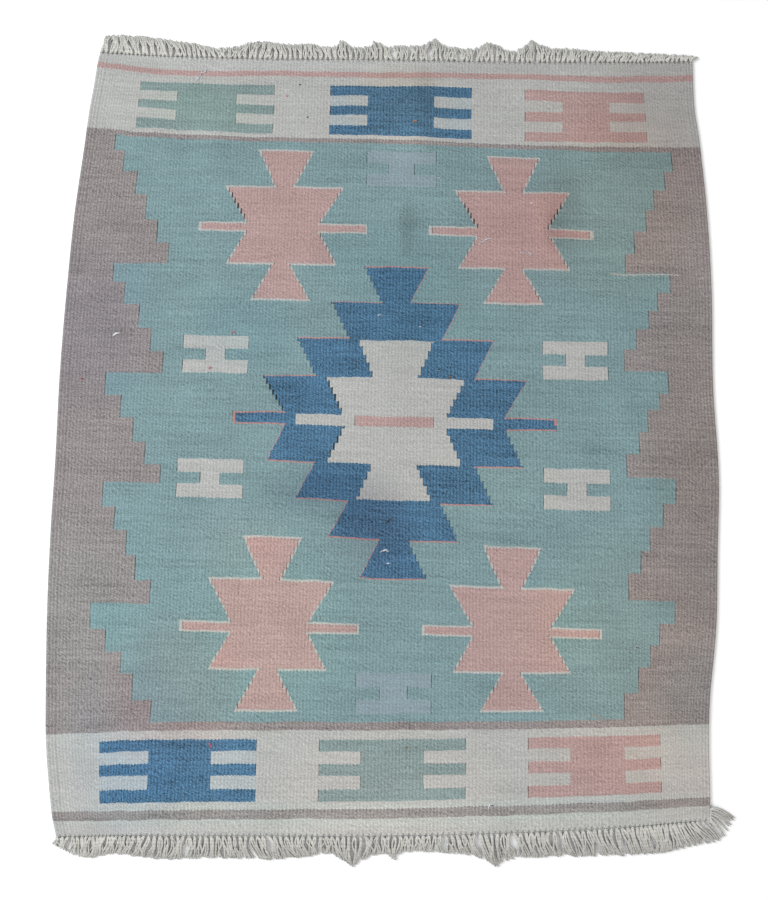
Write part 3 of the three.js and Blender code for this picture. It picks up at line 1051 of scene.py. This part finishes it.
def kilim_chart():
    """The chart as a node group that gives the yarn's number at a place on the loom"""
    group = bpy.data.node_groups.new("kilim chart", "ShaderNodeTree")
    inputs = ("across", "slope_across", "along", "ragged")
    for name in inputs:
        group.interface.new_socket(name, in_out="INPUT", socket_type="NodeSocketFloat")
    group.interface.new_socket("yarn", in_out="OUTPUT", socket_type="NodeSocketFloat")
    recipe = Recipe(group)
    entry = group.nodes.new("NodeGroupInput")
    chart = Chart(recipe, *(Value(recipe, entry.outputs[name]) for name in inputs))
    chart.figures(LILAC_FIGURES, LILAC)
    chart.side_borders()
    chart.diamonds()
    chart.pale_weft()
    chart.medallion()
    chart.figures(CREAM_FIGURES, CREAM)
    chart.end_bands()
    chart.combs()
    leave = group.nodes.new("NodeGroupOutput")
    group.links.new(chart.yarn.socket, leave.inputs[0])
    return group


def new_material(name):
    material = bpy.data.materials.new(name)
    material.use_nodes = True
    material.node_tree.nodes.clear()
    return material, Recipe(material.node_tree)


def finish_material(recipe, sockets):
    shader = recipe.node("BsdfPrincipled", None, sockets)
    recipe.node("OutputMaterial", None, {"Surface": shader})


class Cloth:
    """Where a point of the cloth is among its ribs and wefts"""

    def __init__(self, recipe):
        self.recipe = recipe
        across, along = recipe.uv_places("loom")
        self.across = across / MM
        self.along = along / MM
        self.rib = (self.across + HALF_WIDTH) / RIB_PITCH
        self.rib_number = self.rib.floor()
        self.from_crown = self.rib - self.rib_number - 0.5

    def noise(self, name):
        row = CLOTH_NOISE[name]
        x = self.across / row["across"]
        y = self.along / row["along"]
        return self.recipe.cloud(x, y, row["detail"]) * row["strength"]

    def oval(self, oval):
        """A soft oval: 1 at its middle, and 0 from its edge on"""
        dx = (self.across - oval["across"]) / oval["wide"]
        dy = (self.along - oval["along"]) / oval["long"]
        return (1 - dx * dx - dy * dy).maths("MAXIMUM", 0)


def charted_yarn(cloth):
    """The number of the yarn on each rib, and the painted shade in the slits where it changes between
    ribs
    """
    recipe = cloth.recipe
    chart = kilim_chart()
    crown_across = (cloth.rib_number + 0.5) * RIB_PITCH - HALF_WIDTH
    wobble = cloth.noise("weft wobble") + recipe.grain(cloth.rib_number, 1) * RIB_JOG
    scallop = cloth.from_crown.wave("COSINE") * SCALLOP
    places = {"slope_across": cloth.across, "along": cloth.along + wobble + scallop}
    serration = (cloth.along / RAGGED["along"]).floor()
    stretch = (cloth.across / RAGGED["across"]).floor()
    places["ragged"] = recipe.grain(serration, stretch) * RAGGED["reach"]
    yarn = recipe.node("Group", {"node_tree": chart}, places | {"across": crown_across})
    next_crown = crown_across + cloth.from_crown.maths("SIGN") * RIB_PITCH
    next_yarn = recipe.node("Group", {"node_tree": chart}, places | {"across": next_crown})

    # Painted shade in the slits, where the yarn changes from rib to rib, wider and darker where they
    # stand open
    opened = 0
    for oval in OPEN_SLITS:
        opened = cloth.oval(oval) + opened
    untinged = yarn.either(next_yarn) < BLUE_TINGED - 0.5
    at_join = abs(cloth.from_crown) > SLIT_SHADE["from_crown"] - opened * SLIT_SHADE["widened"]
    slit = (abs(yarn - next_yarn) > 0.5) * at_join * untinged
    gape = cloth.noise("slit gape") + SLIT_SHADE["dark"] + opened * SLIT_SHADE["darkened"]
    return yarn, slit * gape.maths("MINIMUM", SLIT_SHADE["darkest"])


def uneven_dye_and_painted_shade(cloth, beat, beads):
    """Uneven dye: streaks along the wefts, clouds, and each bead of yarn a little its own; with painted
    shade that makes the ribs' crowns and the beads on them lighter than the grooves
    """
    across, along = cloth.across, cloth.along
    streaks = cloth.noise("fine streaks") + cloth.noise("broad streaks")
    crown_light = 0.5 - (cloth.rib + cloth.noise("rib drift")).wave("COSINE") * 0.5
    slant = cloth.from_crown * LEANING["slant"]
    leaning = along / LEANING["pitch"] + cloth.rib_number * LEANING["rib_step"] + slant
    leaning = (leaning + cloth.noise("lean drift")).wave("SINE")
    dash_across = cloth.rib_number * DASHES["rib_step"] + cloth.from_crown
    dashes = cloth.recipe.cloud(dash_across, along / DASHES["along"] + slant, DASHES["detail"])
    # Painted shade: the ribs' crowns and the beads on them lighter, the grooves darker
    painted_bead_shade = (beads * 0.5 + 0.5) * crown_light * RIB_SHADE_AND_TONE["beads"] + crown_light * RIB_SHADE_AND_TONE["crowns"]
    painted_bead_shade = painted_bead_shade + leaning * RIB_SHADE_AND_TONE["leaning"] + RIB_SHADE_AND_TONE["level"]
    fleck_along = along / FLECKS["along"] + across / FLECKS["slope"]
    flecks = cloth.recipe.cloud(across / FLECKS["across"], fleck_along) * FLECKS["strength"]
    grain = cloth.recipe.grain(cloth.rib_number, beat.floor()) * RIB_SHADE_AND_TONE["grain"]
    return streaks + cloth.noise("dye clouds") + grain + dashes * DASHES["strength"] + painted_bead_shade + flecks


def woven_wool():
    """Weft-faced wool: charted yarns, painted shade in the slits at their upright joins and between the
    fringe's knots, uneven dye, and beaded ribs with painted shade
    """
    material, recipe = new_material("woven wool")
    cloth = Cloth(recipe)
    yarn, slits = charted_yarn(cloth)
    yarn_share = (yarn + 0.5) / len(YARN_COLOURS)
    colour = recipe.pick(yarn_share, [linear(colour) for colour in YARN_COLOURS.values()])
    contrasts = [(YARN_CONTRAST.get(number, 1) / MOST_CONTRAST,) * 3 for number in YARN_COLOURS]
    contrast = recipe.pick(yarn_share, contrasts) * MOST_CONTRAST

    beat = cloth.along / (2 * PICK) + cloth.rib_number * 0.5 + cloth.noise("beat drift")
    beads = beat.wave("SINE")
    darker_to_far_end = 1 - cloth.along * DARKENING_TO_FAR_END
    # Uneven dye and the painted shade of ribs and beads, darker towards the far end, and painted shade in
    # the slits
    shade = (1 + uneven_dye_and_painted_shade(cloth, beat, beads) * contrast) * darker_to_far_end * (1 - slits)
    # Painted shade in the gaps between the fringe's knots, along the last wefts
    middle = (FAR_END + NEAR_END) / 2
    to_end = abs(cloth.along - middle) - (FAR_END - middle) + KNOT_GAP_SHADE["deep"]
    between_knots = (cloth.across / KNOT_PITCH).wave("COSINE") > KNOT_GAP_SHADE["wide"]
    painted_knot_gap_shade = between_knots * (to_end > 0) * KNOT_GAP_SHADE["dark"]
    colour = recipe.scaled(colour, shade * (1 - painted_knot_gap_shade))
    # Dye patches, and painted shade in the puckers' creases
    for patch in DYE_AND_SHADE_PATCHES:
        sockets = {0: colour, 1: patch["tint"]}
        tinted = recipe.node("VectorMath", {"operation": "MULTIPLY"}, sockets)
        colour = recipe.blend(cloth.oval(patch), colour, tinted)

    on_crowns = beads * (1 - abs(cloth.from_crown)) * BEAD_HEIGHT
    height = on_crowns + cloth.noise("fibres") + cloth.noise("lumps")
    bump = recipe.node("Bump", None, BUMP | {"Height": height})
    surface = {"Base Color": colour, "Roughness": 0.93, "Specular IOR Level": 0.2, "Sheen Weight": 0.08}
    finish_material(recipe, surface | {"Normal": bump})
    return material


def warp_yarn():
    """Undyed warp yarn, plied, with painted shade on its underside, and greyer towards its tip"""
    material, recipe = new_material("warp yarn")
    around, run = recipe.uv_places("yarn")
    run = run / MM
    ply = (around * 2 - run / PLY_STRIPE).wave("SINE")
    # Painted shade: the yarn's own colour on its top, blending to the shade colour on its underside
    lit_share = 0.5 - around.wave("COSINE") * 0.5
    dye = recipe.blend(lit_share, (*linear(FRINGE_PAINTED_SHADE), 1), linear(FRINGE_COLOUR))
    towards_tip = (run / TIP_DARKENING["over"]).maths("MINIMUM", 1)
    shaded = TIP_DARKENING["start"] - towards_tip * TIP_DARKENING["by"]
    uneven = 1 + recipe.mottle(FRINGE_PATCHES) + recipe.mottle(YARN_BY_YARN) + ply * PLY_SHADE
    bump = recipe.node("Bump", None, BUMP | {"Height": ply})
    surface = {"Base Color": recipe.scaled(dye, uneven * shaded), "Roughness": 0.9, "Sheen Weight": 0.1}
    finish_material(recipe, surface | {"Normal": bump})
    return material


def lint():
    """Lint, whose colour is picked by the first part of its UV map"""
    material, recipe = new_material("lint")
    share, _ = recipe.uv_places("yarn")
    colour = recipe.pick(share, [linear(colour) for colour in LINT_COLOURS.values()])
    colour = recipe.scaled(colour, 1 + recipe.mottle(LINT_FUZZ))
    finish_material(recipe, {"Base Color": colour, "Roughness": 0.95})
    return material


def plain_floor():
    select_nothing()
    bpy.ops.mesh.primitive_plane_add(size=FLOOR_SIZE, location=(0, 0, 0))
    floor = bpy.context.object
    floor.name = "floor"
    points = points_of(floor)
    points[:, 2] = FLOOR_LEVEL * MM
    set_points(floor, points)
    material, recipe = new_material("pale floor")
    finish_material(recipe, {"Base Color": (FLOOR_TONE,) * 3 + (1,), "Roughness": 0.9})
    floor.data.materials.append(material)


def hang_light(row):
    data = bpy.data.lights.new(row["name"], "AREA")
    data.shape = "SQUARE"
    data.size = row["size"]
    data.energy = row["watts"]
    data.color = row["colour"]
    lamp = bpy.data.objects.new(row["name"], data)
    lamp.location = row["place"]
    x, y, z = row["place"]
    lamp.rotation_euler = (math.atan2(math.hypot(x, y), z), 0, math.atan2(-y, -x) - math.pi / 2)
    bpy.context.scene.collection.objects.link(lamp)


def light_the_room():
    scene = bpy.context.scene
    world = bpy.data.worlds.new("room")
    world.use_nodes = True
    sky = world.node_tree.nodes["Background"]
    sky.inputs[0].default_value = (1, 1, 1, 1)
    sky.inputs[1].default_value = SKY_STRENGTH
    scene.world = world
    for row in LIGHTS:
        hang_light(row)
    scene.view_settings.view_transform = "Standard"


def place_camera():
    data = bpy.data.cameras.new("camera")
    data.lens = LENS
    camera = bpy.data.objects.new("camera", data)
    camera.location = [part * MM for part in CAMERA_PLACE]
    camera.rotation_euler = (math.radians(CAMERA_TILT), 0, math.radians(CAMERA_SPIN))
    bpy.context.scene.collection.objects.link(camera)
    bpy.context.scene.camera = camera


panel = weave_panel()
panel.data.materials.clear()
panel.data.materials.append(woven_wool())
far_fringe = tie_fringe("far_fringe_yarns", 1, FAR_LOCKS, FAR_TUFTS, FAR_SEED)
near_fringe = tie_fringe("near_fringe_yarns", -1, NEAR_LOCKS, NEAR_TUFTS, NEAR_SEED)
yarn_finish = warp_yarn()
for fringe, node in ((far_fringe, "fringe_far"), (near_fringe, "fringe_near")):
    fringe.data.materials.append(yarn_finish)
    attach(fringe, "root")
    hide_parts(node)
threads = strew_threads()
threads.data.materials.append(lint())
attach(threads, "root")
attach(panel, "root")
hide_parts("woven_panel")

plain_floor()
light_the_room()
place_camera()
